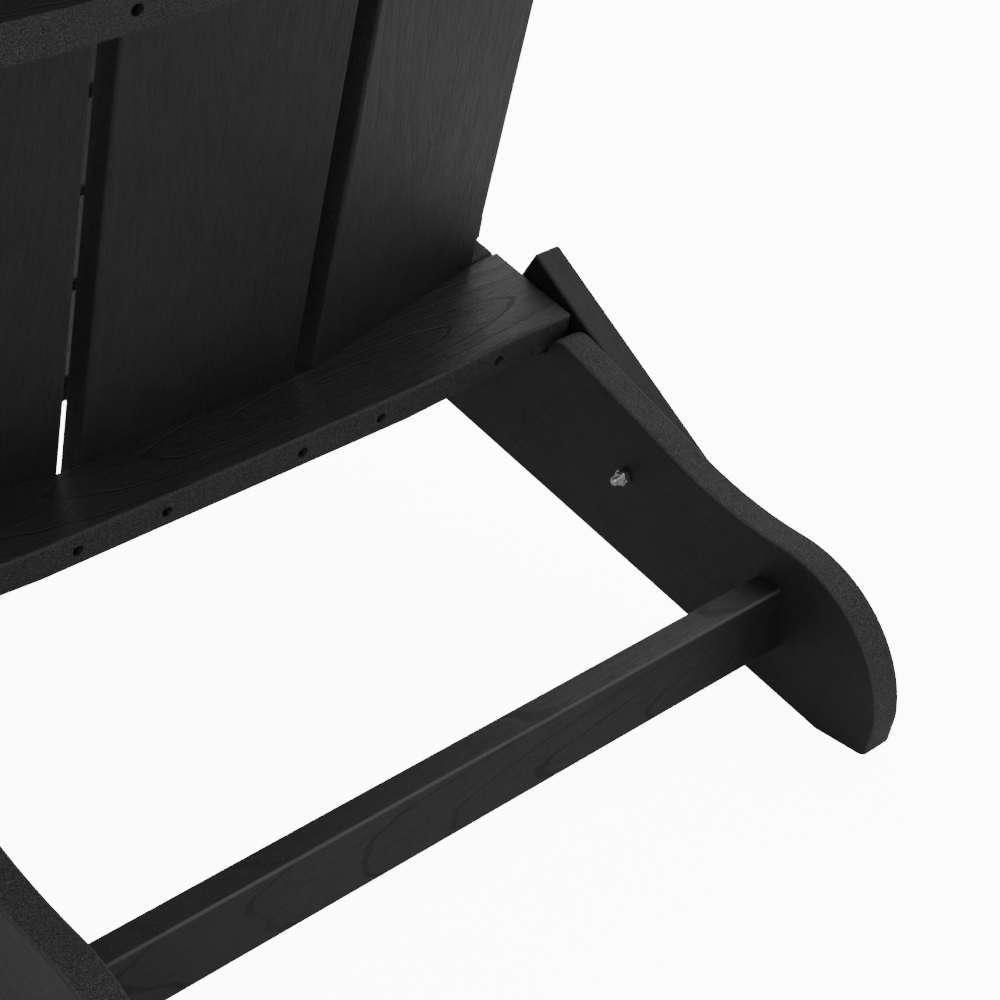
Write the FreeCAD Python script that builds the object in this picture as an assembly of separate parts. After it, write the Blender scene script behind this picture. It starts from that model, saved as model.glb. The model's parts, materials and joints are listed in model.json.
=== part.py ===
import FreeCAD
import Part
import math
import os

# Folding adirondack chair in plastic lumber, millimetres.
# +Z up, the sitter looks along -Y, the two sides mirror about x = 0.
# Origin: centre of the footprint, on the ground.

V = FreeCAD.Vector
os.makedirs("parts", exist_ok=True)

# ---- overall sizes -------------------------------------------------------
DEPTH = 847.0            # front of the armrests to rear of the stringer noses
SEAT_WIDTH = 505.0       # clear width between the two stringers
BACK_HEIGHT = 770.0      # centre slat, measured up from the lower rail's top face
SLOPE = 15.0             # slope of the stringers and the lower rail, degrees
LEAN = 2.9               # the back leans this much further than square to the rail, degrees
RAIL_Z = 193.0           # height of the lower rail's top rear edge

# ---- board stock ---------------------------------------------------------
T_SIDE = 22.0            # stringers, legs, links, brackets
T_SLAT = 20.0            # seat slats, back slats, armrests
T_RAIL = 25.0            # cross rails of the back
EDGE_R = 2.5             # eased edges of every board
GAP_MOVE = 0.4           # clear gap between pieces that move past one another
GAP_SIDE = 1.2           # side gap between planks that fold past one another, holds a washer
BORE_RUN = 0.06          # radial running clearance of a pivot bolt
BORE_FIX = 0.15          # radial clearance of a bolt hole that does not turn

# ---- stringer ------------------------------------------------------------
STR_LOW = -123.5         # lower edge
SEAT_U = -3.0            # straight part of the seat edge
NOTCH_REAR = -3.4
NOTCH_FRONT = 78.0
NOSE_R = 87.0
NOSE_Z = 32.0
SWEEP_R = 265.0
HUMP_F = -39.0
HUMP_U = -8.0
SEAT_HOLLOW_R = 495.0
SEAT_CREST_R = 365.0

# ---- seat ----------------------------------------------------------------
SEAT_SLATS = 6
SEAT_SLAT_W = 67.5
SEAT_FRONT_W = 84.5      # the front slat is wider
SEAT_GAP = 8.5
SEAT_START = 75.0 + T_SLAT       # rear edge of the rearmost slat

# ---- back ----------------------------------------------------------------
RAIL_D_END = 75.5        # depth of a rail at its ends
RAIL_D_SIDE = 73.0        # front face of a rail where the side slats end
RAIL_D_MID = 42.5        # front face of a rail at the centre
RAIL_BULGE = 5.5
BACK_SLAT_W = 155.5
BACK_GAP = 15.0
SIDE_SLAT_W = 160.0
SIDE_IN = 92.75          # the rails' front faces turn here
UPPER_RAIL_U = 331.0
UPPER_RAIL_REAR = -7.5   # rear edge of the upper rail against that of the lower
UPPER_SCREW_X = 100.0    # outer screws of the centre pair on the upper rail
BATTEN_U = BACK_HEIGHT - 160.0
BATTEN_H = 50.0
BATTEN_X = 236.0
ARCH_DROP = 70.0

# ---- pivots, in the stringer's own directions (f forward, u up) ----------
PIVOT_A = (-91.8, -60.8)     # back link on stringer
PIVOT_E = (37.0, -11.0)      # back link on lower rail
PIVOT_D = (35.0, 343.5)      # armrest bracket on upper rail, in the back's own directions
PIVOT_B = (470.0, -60.0)     # front leg on stringer
LEG_RISE = 268.0             # armrest pivot above the leg pivot

# ---- legs, links and arms ------------------------------------------------
LINK_W = 50.0
LEG_W = 87.0
ARM_W = 112.0
ARM_IN = SEAT_WIDTH / 2.0 + 10.5
ARM_REAR_Z = 573.0
ARM_SLOPE = 1.3              # degrees, higher at the front
ARM_REAR_Y = 245.0
BRACKET_R = 24.0

# ---- hardware ------------------------------------------------------------
BOLT_R = 3.0
NUT_AF = 10.0
NUT_H = 6.0
WASHER_R = 6.0
WASHER_T = 0.6
HEAD_R = 7.0
HEAD_H = 3.2
SCREW_HEAD_R = 3.6
SCREW_R = 2.1
SINK = 5.0                   # depth of a screw head below the surface

# ---- derived -------------------------------------------------------------
TAU = math.radians(SLOPE)
CT = math.cos(TAU)
ST = math.sin(TAU)
CL = math.cos(math.radians(LEAN))
SL = math.sin(math.radians(LEAN))
NOSE_Y = DEPTH / 2.0 - NOSE_R
RAIL_Y = NOSE_Y - 203.0
X_IN = SEAT_WIDTH / 2.0
X_OUT = X_IN + T_SIDE
X_L0 = X_OUT + GAP_SIDE      # inner face of link and leg
X_L1 = X_L0 + T_SIDE
X_B0 = X_L1 + GAP_SIDE       # inner face of the arm brackets
X_B1 = X_B0 + T_SIDE
ARM_FRONT_Y = -DEPTH / 2.0
SIDES = ((1.0, "left"), (-1.0, "right"))


def gyz(f, u):
    """Stringer directions to the chair's own y and z."""
    return (RAIL_Y - f * CT + u * ST, RAIL_Z + f * ST + u * CT)


def loc(y, z):
    """The chair's own y and z to stringer directions."""
    dy = y - RAIL_Y
    dz = z - RAIL_Z
    return (-dy * CT + dz * ST, dy * ST + dz * CT)


def pivot_yz(fu):
    return gyz(fu[0], fu[1])


A_YZ = pivot_yz(PIVOT_A)
E_YZ = pivot_yz(PIVOT_E)
D_YZ = gyz(PIVOT_D[0] * CL - PIVOT_D[1] * SL, PIVOT_D[0] * SL + PIVOT_D[1] * CL)
B_YZ = pivot_yz(PIVOT_B)
C_YZ = (B_YZ[0], B_YZ[1] + LEG_RISE)


def rounded(points):
    """Closed wire through (a, b, corner radius) in the plane x = 0."""
    n = len(points)
    ends = []
    for i in range(n):
        a = points[i - 1]
        b = points[i]
        c = points[(i + 1) % n]
        p = V(0, b[0], b[1])
        d0 = (V(0, a[0], a[1]) - p).normalize()
        d1 = (V(0, c[0], c[1]) - p).normalize()
        half = math.acos(max(-1.0, min(1.0, d0.dot(d1)))) / 2.0
        if b[2] <= 0:
            ends.append((p, None, p))
            continue
        t = b[2] / math.tan(half)
        mid = (d0 + d1).normalize() * (b[2] / math.sin(half) - b[2])
        ends.append((p + d0 * t, p + mid, p + d1 * t))
    edges = []
    for i in range(n):
        s, m, e = ends[i]
        if m is not None:
            edges.append(Part.Arc(s, m, e).toShape())
        nxt = ends[(i + 1) % n][0]
        if e.distanceToPoint(nxt) > 1e-4:
            edges.append(Part.makeLine(e, nxt))
    return Part.Wire(edges)


def plank(points, x0, x1, r=EDGE_R):
    """Board cut from an outline in the y-z plane, from x0 to x1, faces eased."""
    wire = rounded(points)
    wire.translate(V(x0, 0, 0))
    body = Part.Face(wire).extrude(V(x1 - x0, 0, 0))
    if r <= 0:
        return body
    rim = []
    for e in body.Edges:
        bb = e.BoundBox
        if bb.XLength < 1e-6:
            rim.append(e)
    return body.makeFillet(r, rim)


def drill(shape, r, x0, x1, yz):
    lo = min(x0, x1)
    tool = Part.makeCylinder(r, abs(x1 - x0), V(lo, yz[0], yz[1]), V(1, 0, 0))
    return shape.cut(tool)


def rod(r, x0, x1, yz):
    return Part.makeCylinder(r, abs(x1 - x0), V(min(x0, x1), yz[0], yz[1]), V(1, 0, 0))


def mirror(shape):
    return shape.mirror(V(0, 0, 0), V(1, 0, 0))


def on_side(shape, s):
    return shape if s > 0 else mirror(shape)


def tilt(shape):
    """From the flat frame (x, -f, u) to the chair's frame."""
    out = shape.copy()
    out.rotate(V(0, 0, 0), V(1, 0, 0), -SLOPE)
    out.translate(V(0, RAIL_Y, RAIL_Z))
    return out


def lean(shape):
    """From the back's own flat frame (x, -f, u) to the chair's frame."""
    out = shape.copy()
    out.rotate(V(0, 0, 0), V(1, 0, 0), -LEAN)
    return tilt(out)


def save(shape, name):
    shape.exportStep("parts/" + name + ".step")


def group(shapes):
    return Part.makeCompound(shapes)


# ---- stringers -----------------------------------------------------------
def local_pts(pts):
    out = []
    for f, u, r in pts:
        y, z = gyz(f, u)
        out.append((y, z, r))
    return out


nose_f, nose_u = loc(NOSE_Y, NOSE_Z)
hump_slope = math.radians(7.9)
sweep_slope = math.radians(11.5)
foot_f = -(STR_LOW * CT + RAIL_Z) / ST
foot_y = gyz(foot_f, STR_LOW)[0]
rear_y = NOSE_Y + NOSE_R
# the edge leaves the nose along a tangent that falls towards the hump
tang_f = nose_f + NOSE_R * math.sin(sweep_slope)
tang_u = nose_u + NOSE_R * math.cos(sweep_slope)
hump_0 = HUMP_U - HUMP_F * math.tan(hump_slope)
sweep_f = (tang_u + tang_f * math.tan(sweep_slope) - hump_0) / (math.tan(hump_slope) + math.tan(sweep_slope))
sweep_u = hump_0 + sweep_f * math.tan(hump_slope)
# the same tangent carried back to the upright line behind the nose
ty, tz = gyz(tang_f, tang_u)
fall = math.tan(sweep_slope + TAU * -1.0)
corner_z = tz + (rear_y - ty) * fall
hump_f = NOTCH_REAR
hump_u = hump_0 + hump_f * math.tan(hump_slope)
notch_u = -T_RAIL - GAP_MOVE

HOLLOW_F = 255.5
SEAT_ANGLE = math.radians(18.5)
CREST_F = 432.5
CREST_U = SEAT_U + (CREST_F - HOLLOW_F) * math.tan(SEAT_ANGLE)
FRONT_ANGLE = math.radians(-13.3)
FRONT_F = 562.0
FRONT_U = CREST_U + (FRONT_F - CREST_F) * math.tan(FRONT_ANGLE)

outline = local_pts([
    (hump_f, notch_u, 1.5),
    (NOTCH_FRONT, notch_u, 1.5),
    (NOTCH_FRONT, SEAT_U, 4.0),
    (HOLLOW_F, SEAT_U, SEAT_HOLLOW_R),
    (CREST_F, CREST_U, SEAT_CREST_R),
    (FRONT_F, FRONT_U, 30.0),
    (FRONT_F - 8.0, -62.0, 25.0),
    (385.0, STR_LOW, 160.0),
]) + [
    (foot_y, 0.0, 3.0),
    (rear_y - 6.0, 0.0, 8.0),
    (rear_y, 26.0, 30.0),
    (rear_y, corner_z, NOSE_R),
] + local_pts([(sweep_f, sweep_u, SWEEP_R), (hump_f, hump_u, 14.0)])

stringer = plank(outline, X_IN, X_OUT)
stringer = drill(stringer, BOLT_R + BORE_FIX, X_IN - 1, X_OUT + 1, A_YZ)
stringer = drill(stringer, BOLT_R + BORE_FIX, X_IN - 1, X_OUT + 1, B_YZ)

# ---- rear stretcher ------------------------------------------------------
STRETCH_H = 44.0
STRETCH_Z = 45.0
STRETCH_Y = NOSE_Y - 15.0
stretcher = Part.makeBox(SEAT_WIDTH, T_SIDE, STRETCH_H, V(-X_IN, STRETCH_Y, STRETCH_Z))
long_edges = [e for e in stretcher.Edges if e.BoundBox.XLength > 10]
stretcher = stretcher.makeFillet(EDGE_R, long_edges)

# screws run in along x through the stringers
stretch_screws = []
for s, side in SIDES:
    for dz in (-14.0, 4.0):
        yz = (STRETCH_Y + T_SIDE / 2.0, STRETCH_Z + STRETCH_H / 2.0 + dz)
        head = rod(SCREW_HEAD_R, X_OUT - SINK - 4.0, X_OUT - SINK, yz)
        shank = rod(SCREW_R, X_IN - 38.0, X_OUT - SINK - 4.0, yz)
        if s > 0:
            stringer = drill(stringer, SCREW_HEAD_R + 0.1, X_OUT - SINK - 4.0, X_OUT + 1, yz)
            stringer = drill(stringer, SCREW_R + 0.05, X_IN - 1, X_OUT, yz)
        stretcher = stretcher.cut(on_side(rod(SCREW_R + 0.05, X_IN - 38.5, X_IN + 1, yz), s))
        stretch_screws.append(on_side(head.fuse(shank), s))


# ---- seat slats ----------------------------------------------------------
def arc_centre(a, b, c, r):
    """Centre of the round of radius r at corner b."""
    p = V(0, b[0], b[1])
    d0 = (V(0, a[0], a[1]) - p).normalize()
    d1 = (V(0, c[0], c[1]) - p).normalize()
    half = math.acos(d0.dot(d1)) / 2.0
    return p + (d0 + d1).normalize() * (r / math.sin(half))


hollow_c = arc_centre((0, SEAT_U), (HOLLOW_F, SEAT_U), (CREST_F, CREST_U), SEAT_HOLLOW_R)
crest_c = arc_centre((HOLLOW_F, SEAT_U), (CREST_F, CREST_U), (FRONT_F, FRONT_U), SEAT_CREST_R)
hollow_0 = hollow_c.y
hollow_1 = hollow_c.y + SEAT_HOLLOW_R * math.sin(SEAT_ANGLE)
crest_0 = crest_c.y - SEAT_CREST_R * math.sin(SEAT_ANGLE)
crest_1 = crest_c.y - SEAT_CREST_R * math.sin(FRONT_ANGLE)


def seat_height(f):
    """Height of the stringer's seat edge above its own zero at f."""
    if f < hollow_0:
        return SEAT_U
    if f < hollow_1:
        return hollow_c.z - math.sqrt(SEAT_HOLLOW_R ** 2 - (f - hollow_c.y) ** 2)
    if f < crest_0:
        return SEAT_U + (f - HOLLOW_F) * math.tan(SEAT_ANGLE)
    if f < crest_1:
        return crest_c.z + math.sqrt(SEAT_CREST_R ** 2 - (f - crest_c.y) ** 2)
    return CREST_U + (f - CREST_F) * math.tan(FRONT_ANGLE)


def seat_place(f0, width):
    """Angle and middle of the underside of a slat whose rear edge is at f0."""
    ang = math.atan((seat_height(f0 + width) - seat_height(f0)) / width)
    for k in range(4):
        f1 = f0 + width * math.cos(ang)
        ang = math.atan((seat_height(f1) - seat_height(f0)) / (f1 - f0))
    mid_f = (f0 + f1) / 2.0
    lift = -1e9
    for k in range(65):
        f = f0 + (f1 - f0) * (0.02 + 0.96 * k / 64.0)
        lift = max(lift, seat_height(f) - (f - mid_f) * math.tan(ang))
    return ang, mid_f, lift


seat_slats = []
seat_screws = []
f_edge = SEAT_START
for i in range(SEAT_SLATS):
    width = SEAT_SLAT_W if i < SEAT_SLATS - 1 else SEAT_FRONT_W
    ang, mid_f, lift = seat_place(f_edge, width)
    half = width / 2.0
    length = 2.0 * X_OUT
    slat = Part.makeBox(length, width, T_SLAT, V(-X_OUT, -half, 0))
    ease = []
    nose = []
    for e in slat.Edges:
        bb = e.BoundBox
        if bb.XLength > 10:
            if i == SEAT_SLATS - 1 and bb.ZMin > 1 and bb.YMax < 0:
                nose.append(e)
            else:
                ease.append(e)
    slat = slat.makeFillet(EDGE_R, ease)
    if nose:
        nose = [e for e in slat.Edges if e.BoundBox.XLength > 10
                and e.BoundBox.YMax < -half + 0.01 and e.BoundBox.ZMin > T_SLAT - 0.01]
        slat = slat.makeFillet(10.0, nose)
    screws = []
    for s, side in SIDES:
        for dy in (-22.0, 22.0):
            at = V(s * (X_IN + T_SIDE / 2.0), dy, 0)
            down = V(0, 0, -1)
            top = at + V(0, 0, T_SLAT)
            head = Part.makeCylinder(SCREW_HEAD_R, 3.0, top + V(0, 0, -1.0), down)
            shank = Part.makeCylinder(SCREW_R, 38.0, top + V(0, 0, -4.0), down)
            slat = slat.cut(Part.makeCylinder(SCREW_HEAD_R + 0.1, 4.0, top, down))
            slat = slat.cut(Part.makeCylinder(SCREW_R + 0.05, T_SLAT, top, down))
            screws.append(head.fuse(shank))
            bore = Part.makeCylinder(SCREW_R + 0.05, 42.5, top, down)
            if s > 0:
                bore.rotate(V(0, 0, 0), V(1, 0, 0), -math.degrees(ang))
                bore.translate(V(0, -mid_f, lift))
                stringer = stringer.cut(tilt(bore))
    for piece in [slat] + screws:
        piece.rotate(V(0, 0, 0), V(1, 0, 0), -math.degrees(ang))
        piece.translate(V(0, -mid_f, lift))
    seat_slats.append(tilt(slat))
    seat_screws.extend([tilt(p) for p in screws])
    f_edge = mid_f + half * math.cos(ang) + SEAT_GAP * math.cos(ang)


# ---- back ----------------------------------------------------------------
SIDE_RUN = 156.6
SIDE_ANGLE = math.degrees(math.atan((RAIL_D_SIDE - RAIL_D_MID) / SIDE_RUN))


def rail_body(u0, x_end, rear=0.0, proud=0.0):
    """Cross rail with a bulged rear edge and a front edge in three flats."""
    half = SIDE_IN + SIDE_RUN
    pts = [(-x_end, rear), (-230, rear), (-133, rear + RAIL_BULGE), (133, rear + RAIL_BULGE),
           (230, rear), (x_end, rear), (x_end, -RAIL_D_END), (half, -RAIL_D_SIDE - proud),
           (SIDE_IN, -RAIL_D_MID - proud), (-SIDE_IN, -RAIL_D_MID - proud),
           (-half, -RAIL_D_SIDE - proud), (-x_end, -RAIL_D_END)]
    verts = [V(x, y, u0) for x, y in pts]
    wire = Part.makePolygon(verts + [verts[0]])
    body = Part.Face(wire).extrude(V(0, 0, T_RAIL))
    rim = []
    for e in body.Edges:
        bb = e.BoundBox
        if bb.ZLength < 1e-6 and bb.YMin > -1.0:
            rim.append(e)
        if bb.ZLength < 1e-6 and bb.XLength < 1e-6:
            rim.append(e)
        if bb.ZLength > 1 and abs(abs(bb.XMin) - x_end) < 1e-3:
            rim.append(e)
    return body.makeFillet(EDGE_R, rim)


def slat_screws(u, rear=0.0, out_x=110.5):
    """Rear-face screw axes of one rail: position, direction and seat depth."""
    out = []
    for x in (-211.5, -out_x, -49.5, 49.5, out_x, 211.5):
        y_face = rear + RAIL_BULGE
        front = RAIL_D_MID
        if abs(x) > 133:
            y_face = rear + RAIL_BULGE * (1.0 - (abs(x) - 133.0) / 97.0)
        if abs(x) > SIDE_IN:
            front = RAIL_D_MID + (abs(x) - SIDE_IN) * math.tan(math.radians(SIDE_ANGLE))
        out.append((x, y_face, u, front))
    return out


def batten_screws(u):
    """Screw axes of the top batten, whose rear face follows the slats."""
    out = []
    for x in (-190.0, -110.5, -49.5, 49.5, 110.5, 190.0):
        front = RAIL_D_MID
        if abs(x) > SIDE_IN:
            front = RAIL_D_MID + (abs(x) - SIDE_IN) * math.tan(math.radians(SIDE_ANGLE))
        out.append((x, -(front - 24.0), u, front))
    return out


def screw_solid(x, y_face, u, front, slack):
    """Screw driven forwards; slack widens it into its own hole."""
    deep = front - 25.0
    y_seat = -deep
    tip = -(front + T_SLAT - 5.0)
    fwd = V(0, -1, 0)
    if slack > 0:
        head = Part.makeCylinder(SCREW_HEAD_R + slack, y_face + 2.0 - y_seat, V(x, y_face + 2.0, u), fwd)
        shank = Part.makeCylinder(SCREW_R + slack, y_seat - tip + 0.5, V(x, y_seat, u), fwd)
    else:
        head = Part.makeCylinder(SCREW_HEAD_R, 4.0, V(x, y_seat + 4.0, u), fwd)
        shank = Part.makeCylinder(SCREW_R, y_seat - tip, V(x, y_seat, u), fwd)
    return head.fuse(shank)


def back_slat(kind):
    """Centre slat is square to the seat; the side slats turn in around it."""
    w = BACK_SLAT_W
    h = BACK_HEIGHT + T_RAIL + 20.0
    if kind == 0:
        body = Part.makeBox(w, T_SLAT, h, V(-w / 2.0, -RAIL_D_MID - T_SLAT, -T_RAIL))
    else:
        body = Part.makeBox(SIDE_SLAT_W, T_SLAT, h, V(0, -T_SLAT, -T_RAIL))
    radius = (250.0 ** 2 + ARCH_DROP ** 2) / (2.0 * ARCH_DROP)
    if kind != 0:
        body.rotate(V(0, 0, 0), V(0, 0, 1), -SIDE_ANGLE)
        start = BACK_SLAT_W / 2.0 + BACK_GAP
        y0 = -RAIL_D_MID - (start - SIDE_IN) * math.tan(math.radians(SIDE_ANGLE))
        body.translate(V(start, y0, 0))
    keep = Part.makeCylinder(radius, 400, V(0, 100, BACK_HEIGHT - radius), V(0, -1, 0))
    keep = keep.fuse(Part.makeBox(700, 400, 500, V(-350, -300, -200)))
    body = body.common(keep)
    rim = []
    for e in body.Edges:
        bb = e.BoundBox
        if bb.ZLength > 400 or (bb.ZMin > 500 and e.Length > 60):
            rim.append(e)
    body = body.makeFillet(EDGE_R, rim)
    if kind < 0:
        body = mirror(body)
    return body


rail_low = rail_body(-T_RAIL, X_OUT - 0.5, 0.0, 2.5)
rail_up = rail_body(UPPER_RAIL_U, X_L1 - 0.5, UPPER_RAIL_REAR)
# the lower rail's front face is planed to the slats' lean
plane_pts = [(-320, -RAIL_D_END - 3.0), (-SIDE_IN - SIDE_RUN, -RAIL_D_SIDE), (-SIDE_IN, -RAIL_D_MID),
             (SIDE_IN, -RAIL_D_MID), (SIDE_IN + SIDE_RUN, -RAIL_D_SIDE), (320, -RAIL_D_END - 3.0),
             (320, -200), (-320, -200)]
plane = [V(x, y, -T_RAIL - 20) for x, y in plane_pts]
shave = Part.Face(Part.makePolygon(plane + [plane[0]])).extrude(V(0, 0, T_RAIL + 40))
shave.rotate(V(0, 0, 0), V(1, 0, 0), -LEAN)
rail_low = rail_low.cut(shave)
end_front = RAIL_D_MID + (BATTEN_X - SIDE_IN) * math.tan(math.radians(SIDE_ANGLE))
trim_pts = [(-BATTEN_X, -end_front), (-SIDE_IN, -RAIL_D_MID), (SIDE_IN, -RAIL_D_MID), (BATTEN_X, -end_front),
            (BATTEN_X, T_RAIL - end_front), (SIDE_IN, T_RAIL - RAIL_D_MID),
            (-SIDE_IN, T_RAIL - RAIL_D_MID), (-BATTEN_X, T_RAIL - end_front)]
trim = [V(x, y, BATTEN_U) for x, y in trim_pts]
batten = Part.Face(Part.makePolygon(trim + [trim[0]])).extrude(V(0, 0, BATTEN_H))
slat_c = back_slat(0)
slat_l = back_slat(1)
slat_r = back_slat(-1)
screws_low = []
screws_up = []
screws_top = []
for u, kind in ((-T_RAIL / 2.0, 0), (UPPER_RAIL_U + T_RAIL / 2.0, 1), (BATTEN_U + BATTEN_H / 2.0, 2)):
    if kind == 2:
        rows = batten_screws(u)
    elif kind == 1:
        rows = slat_screws(u, UPPER_RAIL_REAR, UPPER_SCREW_X)
    else:
        rows = slat_screws(u)
    for x, y_face, uu, front in rows:
        hole = screw_solid(x, y_face, uu, front, 0.05)
        body = screw_solid(x, y_face, uu, front, 0.0)
        if kind == 0:
            leant = hole.copy()
            leant.rotate(V(0, 0, 0), V(1, 0, 0), -LEAN)
            rail_low = rail_low.cut(leant)
            screws_low.append(body)
        elif kind == 1:
            rail_up = rail_up.cut(hole)
            screws_up.append(body)
        else:
            batten = batten.cut(hole)
            screws_top.append(body)
        if abs(x) < BACK_SLAT_W / 2.0:
            slat_c = slat_c.cut(hole)
        elif x > 0:
            slat_l = slat_l.cut(hole)
        else:
            slat_r = slat_r.cut(hole)


# ---- links, legs, arms ---------------------------------------------------
def bar(p, q, before, after, w):
    """Plank outline along p to q, carried past both ends."""
    d = V(0, q[0] - p[0], q[1] - p[1]).normalize()
    n = V(0, -d.z, d.y) * (w / 2.0)
    a = V(0, p[0], p[1]) - d * before
    b = V(0, q[0], q[1]) + d * after
    return [(k.y, k.z, 2.0) for k in (a - n, b - n, b + n, a + n)]


link = plank(bar(A_YZ, E_YZ, 24.0, 17.5, LINK_W), X_L0, X_L1)
link = drill(link, BOLT_R + BORE_RUN, X_L0 - 1, X_L1 + 1, A_YZ)
link = drill(link, BOLT_R + BORE_RUN, X_L0 - 1, X_L1 + 1, E_YZ)

half_leg = LEG_W / 2.0
leg = plank([(B_YZ[0] - half_leg, 0.0, 2.0), (B_YZ[0] + half_leg, 0.0, 2.0),
             (B_YZ[0] + half_leg, C_YZ[1] + half_leg, half_leg - 0.01),
             (B_YZ[0] - half_leg, C_YZ[1] + half_leg, half_leg - 0.01)], X_L0, X_L1)
leg = drill(leg, BOLT_R + BORE_RUN, X_L0 - 1, X_L1 + 1, B_YZ)
leg = drill(leg, BOLT_R + BORE_FIX, X_L0 - 1, X_L1 + 1, C_YZ)


def arm_under(y):
    """Height of the armrest's underside at y."""
    return ARM_REAR_Z + (ARM_REAR_Y - y) * math.tan(math.radians(ARM_SLOPE))


ARM_LEN = ARM_REAR_Y - ARM_FRONT_Y
arm_out = ARM_IN + ARM_W
arm_pts = [(ARM_IN + 14.0, 0.0, 30.0), (arm_out - 30.0, 0.0, 24.0), (arm_out - 14.0, -240.0, 300.0),
           (arm_out, -430.0, 300.0), (arm_out, -ARM_LEN, 46.0), (ARM_IN, -ARM_LEN, 30.0),
           (ARM_IN, -330.0, 300.0), (ARM_IN + 14.0, -150.0, 300.0)]
# the outline is drawn as (x, y) in the plane x = 0, then turned to lie flat
arm = Part.Face(rounded(arm_pts)).extrude(V(T_SLAT, 0, 0))
arm.rotate(V(0, 0, 0), V(1, 1, 1), -120)
rim = []
for e in arm.Edges:
    if e.BoundBox.ZLength < 1e-4:
        rim.append(e)
arm = arm.makeFillet(4.0, rim)
arm.rotate(V(0, 0, 0), V(1, 0, 0), -ARM_SLOPE)
arm.translate(V(0, ARM_REAR_Y, ARM_REAR_Z))
ARM_SHIFT = ARM_FRONT_Y - arm.BoundBox.YMin
arm.translate(V(0, ARM_SHIFT, ARM_SHIFT * -math.tan(math.radians(ARM_SLOPE))))


def bracket(pivot, front, rear):
    """Hanger under the armrest, rounded about its pivot."""
    y0 = pivot[0] - front
    y1 = pivot[0] + rear
    r = BRACKET_R
    return [(y0, arm_under(y0), 1.0), (y0, arm_under(y0) - 14.0, 12.0),
            (pivot[0] - r, pivot[1] - r * 0.1, 30.0), (pivot[0] - r, pivot[1] - r, r * 0.98),
            (pivot[0] + r, pivot[1] - r, r * 0.98), (pivot[0] + r, pivot[1] - r * 0.1, 30.0),
            (y1, arm_under(y1) - 14.0, 12.0), (y1, arm_under(y1), 1.0)]


front_br = plank(bracket(C_YZ, 46.0, 60.0), X_B0, X_B1, 0)
rear_br = plank(bracket(D_YZ, 60.0, 46.0), X_B0, X_B1, 0)
front_br = drill(front_br, BOLT_R + BORE_FIX, X_B0 - 1, X_B1 + 1, C_YZ)
rear_br = drill(rear_br, BOLT_R + BORE_RUN, X_B0 - 1, X_B1 + 1, D_YZ)

# screws down through the armrest into both brackets
arm_screws = []
for pivot, front, rear in ((C_YZ, 46.0, 60.0), (D_YZ, 60.0, 46.0)):
    for dy in (-0.6 * front, 0.6 * rear):
        y = pivot[0] + dy
        x = (X_B0 + X_B1) / 2.0
        top = arm_under(y) + T_SLAT / math.cos(math.radians(ARM_SLOPE))
        down = V(0, 0, -1)
        head = Part.makeCylinder(SCREW_HEAD_R, 3.0, V(x, y, top - 1.5), down)
        shank = Part.makeCylinder(SCREW_R, 27.0, V(x, y, top - 4.5), down)
        arm = arm.cut(Part.makeCylinder(SCREW_HEAD_R + 0.1, 5.5, V(x, y, top + 1.0), down))
        arm = arm.cut(Part.makeCylinder(SCREW_R + 0.05, 30, V(x, y, top), down))
        well = Part.makeCylinder(SCREW_R + 0.05, 32.0, V(x, y, top), down)
        front_br = front_br.cut(well)
        rear_br = rear_br.cut(well)
        arm_screws.append(head.fuse(shank))


# ---- pivot hardware ------------------------------------------------------
def cap(x, yz, way):
    """Domed bolt head standing on the face at x."""
    base = rod(HEAD_R, x, x + way * HEAD_H, yz)
    outer = [e for e in base.Edges if abs(e.BoundBox.XMin - (x + way * HEAD_H)) < 1e-3
             and e.BoundBox.XLength < 1e-3]
    return base.makeFillet(HEAD_H * 0.6, outer)


def nut(x, yz, way):
    """Hexagon nut with a round collar, bore left for the bolt."""
    pts = []
    for k in range(7):
        a = math.radians(60.0 * k + 15.0)
        r = NUT_AF / 2.0 / math.cos(math.radians(30.0))
        pts.append(V(x, yz[0] + r * math.cos(a), yz[1] + r * math.sin(a)))
    body = Part.Face(Part.makePolygon(pts)).extrude(V(way * NUT_H * 0.72, 0, 0))
    body = body.fuse(rod(NUT_AF / 2.0 - 0.4, x, x + way * NUT_H, yz))
    return drill(body, BOLT_R, x - way, x + way * (NUT_H + 1), yz)


def washer(x0, x1, yz, bore):
    return drill(rod(WASHER_R, x0, x1, yz), bore, x0 - 1, x1 + 1, yz)


link_bolts = []
link_nuts = []
link_washers = []
leg_bolts = []
leg_nuts = []
leg_washers = []
rail_bolts = []
arm_rear_bolts = []
arm_front_bolts = []
leg_top_bolts = []
leg_top_nuts = []
HEAD_AT = X_L1 + GAP_MOVE
NUT_AT = X_IN - WASHER_T
for yz, bolts, nuts, rings in ((A_YZ, link_bolts, link_nuts, link_washers),
                               (B_YZ, leg_bolts, leg_nuts, leg_washers)):
    shaft = rod(BOLT_R, NUT_AT - NUT_H - 5.0, HEAD_AT, yz)
    bolt = shaft.fuse(cap(HEAD_AT, yz, 1.0))
    ring_in = washer(NUT_AT, X_IN, yz, BOLT_R)
    ring_mid = washer(X_OUT, X_L0 - GAP_MOVE, yz, BOLT_R)
    lock = nut(NUT_AT, yz, -1.0)
    for s, side in SIDES:
        bolts.append(on_side(bolt, s))
        nuts.append(on_side(lock, s))
        rings.append(on_side(ring_in, s))
        rings.append(on_side(ring_mid, s))

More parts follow.
